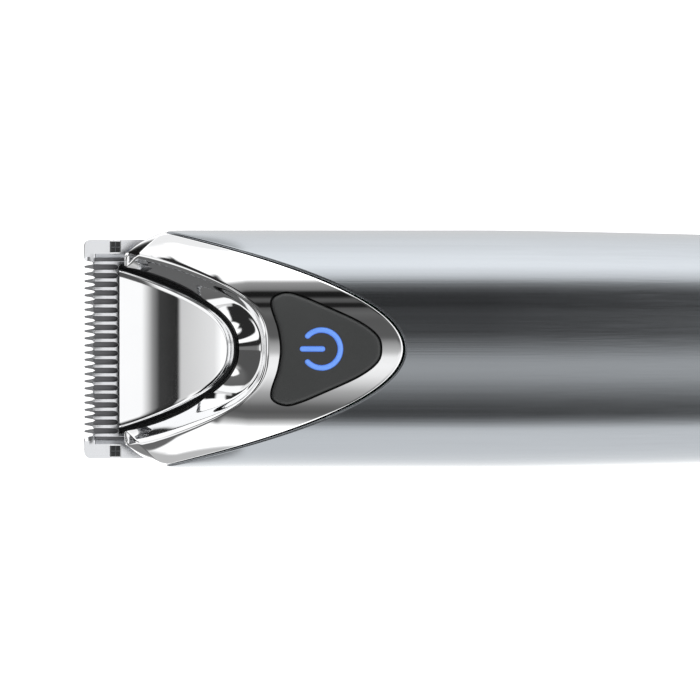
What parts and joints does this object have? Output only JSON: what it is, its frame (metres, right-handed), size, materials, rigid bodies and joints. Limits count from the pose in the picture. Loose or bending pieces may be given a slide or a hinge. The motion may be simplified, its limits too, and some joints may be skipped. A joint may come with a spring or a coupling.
{
  "type": "cordless beard trimmer",
  "caption": "Cordless beard trimmer with a snap-off blade head, a reciprocating toothed cutter, a motor with an eccentric drive and a push button in a polished bezel.",
  "frame": {"origin": "on the surface that it lies on, under the middle of its length", "axes": "+X from the blade tips to the end cap, +Y across the blade, +Z out of the front, where the button is"},
  "size_m": [0.158, 0.0394, 0.0316],
  "materials": {
    "sleeve_steel": "brushed around the body, satin",
    "bright_chrome": "polished",
    "blade_steel": "ground, satin",
    "black_plastic": "fine matt",
    "grey_plastic": "matt",
    "white_acetal": "smooth",
    "button_rubber": "soft matt",
    "blue_light": "translucent light guide, lit blue",
    "green_board": "solder mask",
    "cell_wrap": "shrink-wrapped can",
    "spring_steel": "plain",
    "motor_steel": "zinc plated",
    "copper": "copper",
    "bronze": "sintered bronze",
    "nickel": "nickel plated",
    "magnet": "ferrite",
    "red_wire": "wire insulation",
    "seal_rubber": "matt"
  },
  "bodies": {
    "handle": {"body_sleeve": "sleeve_steel", "front_bezel": "bright_chrome", "end_cap": "black_plastic", "cap_seal": "seal_rubber", "cap_screw_left": "spring_steel", "cap_screw_right": "spring_steel", "charge_socket": "black_plastic", "charge_pin": "nickel", "front_bulkhead": "black_plastic", "chassis_tray": "grey_plastic", "motor_strap": "spring_steel", "strap_screw_left": "spring_steel", "strap_screw_right": "spring_steel", "motor_can": "motor_steel", "motor_end_bell": "white_acetal", "motor_magnet_left": "magnet", "motor_magnet_right": "magnet", "motor_brush_left": "copper", "motor_brush_right": "copper", "front_bearing": "bronze", "rear_bearing": "bronze", "battery_cell": "cell_wrap", "battery_tab_front": "nickel", "battery_tab_rear": "nickel", "cell_foam_pad": "seal_rubber", "circuit_board": "green_board", "status_led": "white_acetal", "charge_controller": "black_plastic", "smoothing_capacitor": "nickel", "tact_switch": "black_plastic", "motor_lead_red": "red_wire", "motor_lead_black": "seal_rubber", "socket_lead_red": "red_wire", "socket_lead_black": "seal_rubber"},
    "drive_shaft": {"motor_shaft": "spring_steel", "armature": "copper", "commutator": "copper", "eccentric_cam": "white_acetal", "drive_pin": "spring_steel"},
    "blade_head": {"head_cover": "bright_chrome", "head_carrier": "black_plastic", "fixed_blade": "blade_steel", "blade_screw_left": "spring_steel", "blade_screw_right": "spring_steel", "tension_spring": "spring_steel", "comb_catch_left": "black_plastic", "comb_catch_right": "black_plastic"},
    "cutter": {"moving_blade": "blade_steel", "blade_guide": "white_acetal"},
    "button": {"power_button": "button_rubber", "power_light_guide": "blue_light"},
    "switch_plunger": {"switch_plunger": "white_acetal"}
  },
  "joints": [
    {"name": "drive_spin", "type": "hinge", "parent": "handle", "child": "drive_shaft", "pos_m": [-0.0538, 0, 0.0125], "axis": [1, 0, 0], "range_deg": [-90, 90]},
    {"name": "head_release", "type": "slide", "parent": "handle", "child": "blade_head", "axis": [-1, 0, 0], "range_m": [0, 0.032]},
    {"name": "blade_stroke", "type": "slide", "parent": "blade_head", "child": "cutter", "axis": [0, 1, 0], "range_m": [-0.0012, 0.0012]},
    {"name": "button_press", "type": "slide", "parent": "handle", "child": "button", "axis": [0, 0, -1], "range_m": [0, 0.0005], "stiffness_N_per_m": 2000, "springref_m": -0.0005},
    {"name": "switch_travel", "type": "slide", "parent": "handle", "child": "switch_plunger", "axis": [0, 0, -1], "range_m": [0, 0.0005]}
  ],
  "couplings": [
    {"joint": "blade_stroke", "follows": "drive_spin", "m_per_rad": 0.00076},
    {"joint": "switch_travel", "follows": "button_press", "ratio": 1}
  ]
}
